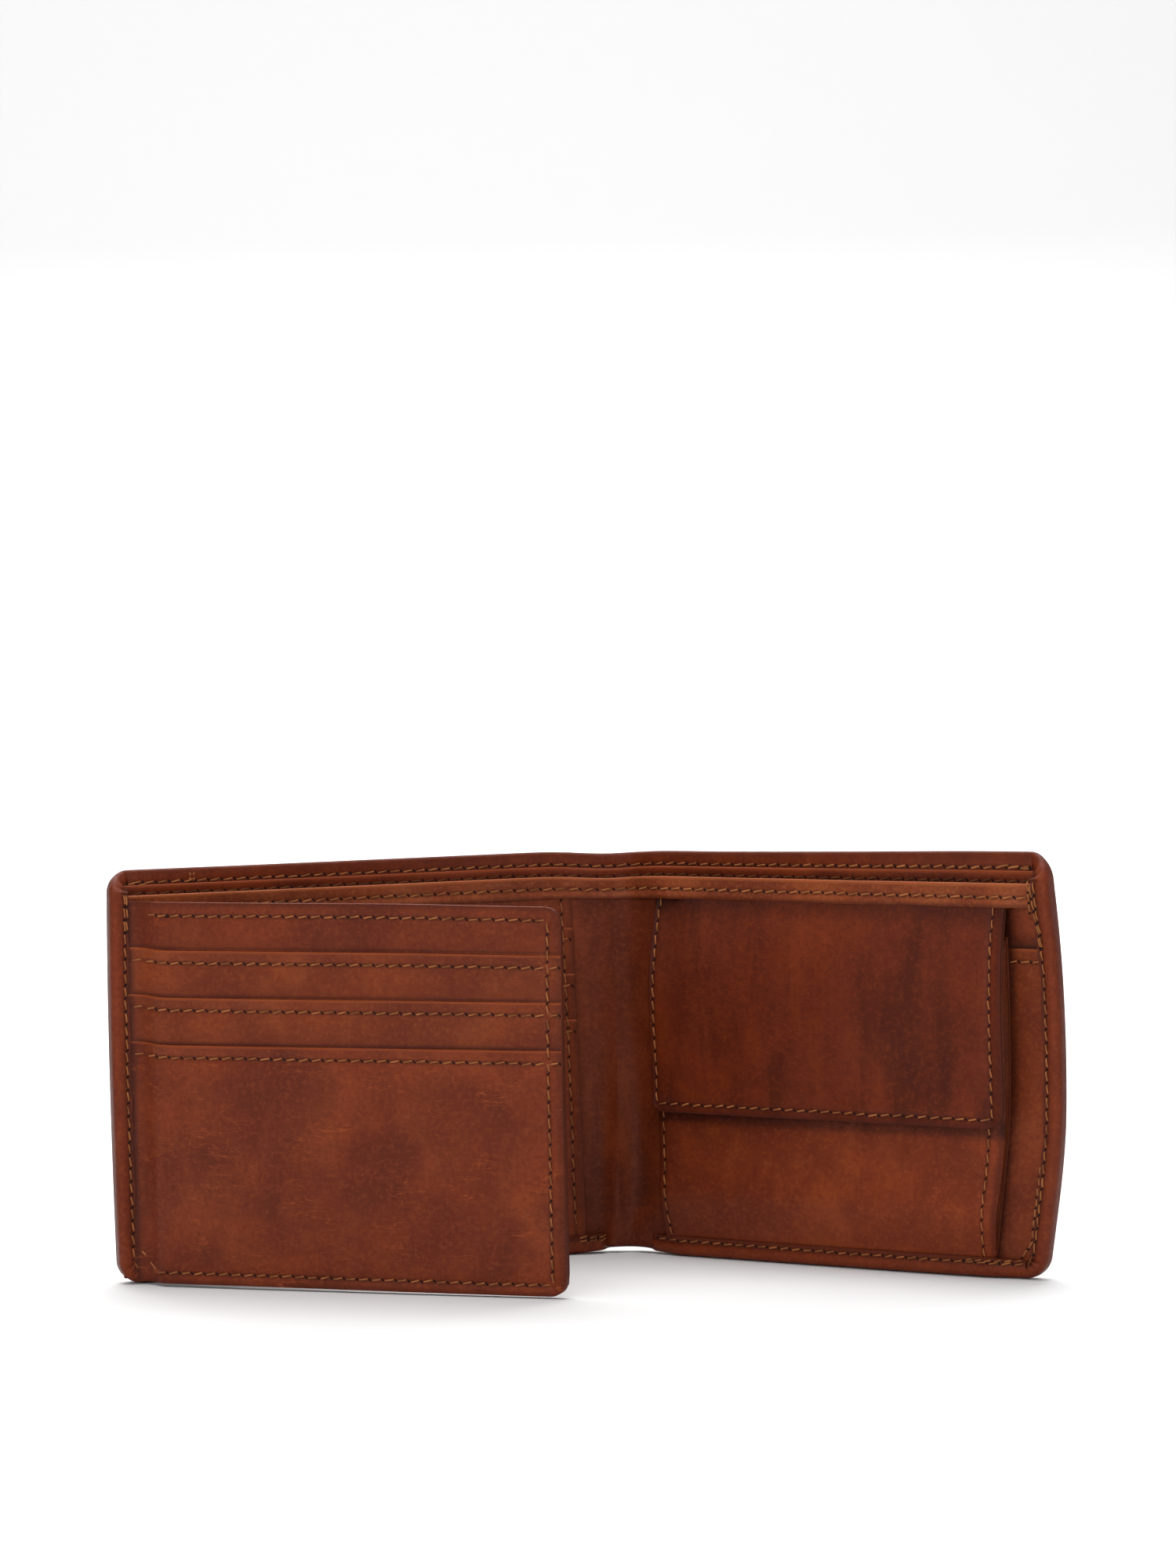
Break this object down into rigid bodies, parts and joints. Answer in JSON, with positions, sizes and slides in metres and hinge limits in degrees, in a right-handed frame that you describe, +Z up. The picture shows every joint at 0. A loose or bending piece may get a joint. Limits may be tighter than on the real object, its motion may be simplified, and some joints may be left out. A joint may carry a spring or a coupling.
{
  "type": "bifold wallet",
  "caption": "Bifold leather wallet with a swinging card leaf, note pockets and a flapped coin pocket, standing open on its long edge.",
  "frame": {"origin": "middle of the bounding box in plan, on the surface that the wallet stands on", "axes": "+X to the right along the open wallet, +Y to its outer side, +Z up its short side; the inside faces -Y"},
  "size_m": [0.214, 0.073, 0.095],
  "materials": {
    "leather": "full-grain, semi-gloss, mottled tan brown",
    "leather_cover": "full-grain, semi-gloss, edges rubbed darker",
    "leather_band": "full-grain, semi-gloss, lighter where it is stretched",
    "leather_gusset": "full-grain, matt, darker",
    "lining": "suede side, matt",
    "board": "bonded leather board, matt",
    "thread": "waxed thread",
    "snap_brass": "satin"
  },
  "bodies": {
    "left_half": {"cover_left": "leather_cover", "turned_side_left": "leather_cover", "turned_bottom_left": "leather_cover", "turned_hem_left": "leather_cover", "stiffener_left": "board", "note_lining_left": "lining", "divider_left": "leather", "inner_wall_left": "leather", "band_left": "leather_band", "card_backing_left": "leather", "card_pocket_left_1": "leather", "card_pocket_left_2": "leather", "card_pocket_left_3": "leather", "thread_border_left": "thread", "thread_top_left": "thread", "thread_cards_left": "thread"},
    "spine_a": {"cover_spine_a": "leather_cover", "note_lining_spine_a": "lining", "divider_spine_a": "leather", "inner_wall_spine_a": "leather", "band_spine_a": "leather_band"},
    "spine_b": {"cover_spine_b": "leather_cover", "note_lining_spine_b": "lining", "divider_spine_b": "leather", "inner_wall_spine_b": "leather", "band_spine_b": "leather_band"},
    "right_half": {"cover_right": "leather_cover", "turned_side_right": "leather_cover", "turned_bottom_right": "leather_cover", "turned_hem_right": "leather_cover", "stiffener_right": "board", "note_lining_right": "lining", "divider_right": "leather", "inner_wall_right": "leather", "band_right": "leather_band", "slip_pocket_right": "leather", "coin_back": "leather_gusset", "coin_front": "leather", "coin_gusset_left": "leather_gusset", "coin_gusset_right": "leather_gusset", "coin_gusset_bottom": "leather_gusset", "coin_flap_root": "leather", "snap_stud": "snap_brass", "snap_post": "snap_brass", "thread_border_right": "thread", "thread_top_right": "thread", "thread_coin": "thread"},
    "leaf": {"leaf_back": "leather", "leaf_board": "board", "leaf_top_panel": "leather", "leaf_pocket_1": "leather", "leaf_pocket_2": "leather", "leaf_pocket_3": "leather", "thread_leaf": "thread"},
    "coin_flap": {"flap_outer": "leather", "flap_lining": "lining", "snap_socket": "snap_brass", "snap_cap": "snap_brass", "thread_flap": "thread"}
  },
  "joints": [
    {"name": "crease_left", "type": "hinge", "parent": "left_half", "child": "spine_a", "pos_m": [-0.00092, 0.03295, 0.0475], "axis": [0, 0, -1], "range_deg": [-11, 43]},
    {"name": "crease_centre", "type": "hinge", "parent": "spine_a", "child": "spine_b", "pos_m": [0.00706, 0.03351, 0.0475], "axis": [0, 0, -1], "range_deg": [-14, 45]},
    {"name": "crease_right", "type": "hinge", "parent": "spine_b", "child": "right_half", "pos_m": [0.01494, 0.03212, 0.0475], "axis": [0, 0, -1], "range_deg": [-24, 43]},
    {"name": "leaf_swing", "type": "hinge", "parent": "left_half", "child": "leaf", "pos_m": [-0.10068, 0.00187, 0.0475], "axis": [0, 0, 1], "range_deg": [-124, 36]},
    {"name": "coin_flap_lift", "type": "hinge", "parent": "right_half", "child": "coin_flap", "pos_m": [0.05618, -0.00384, 0.0801], "axis": [0.829, -0.5592, 0], "range_deg": [-165, 0]}
  ]
}
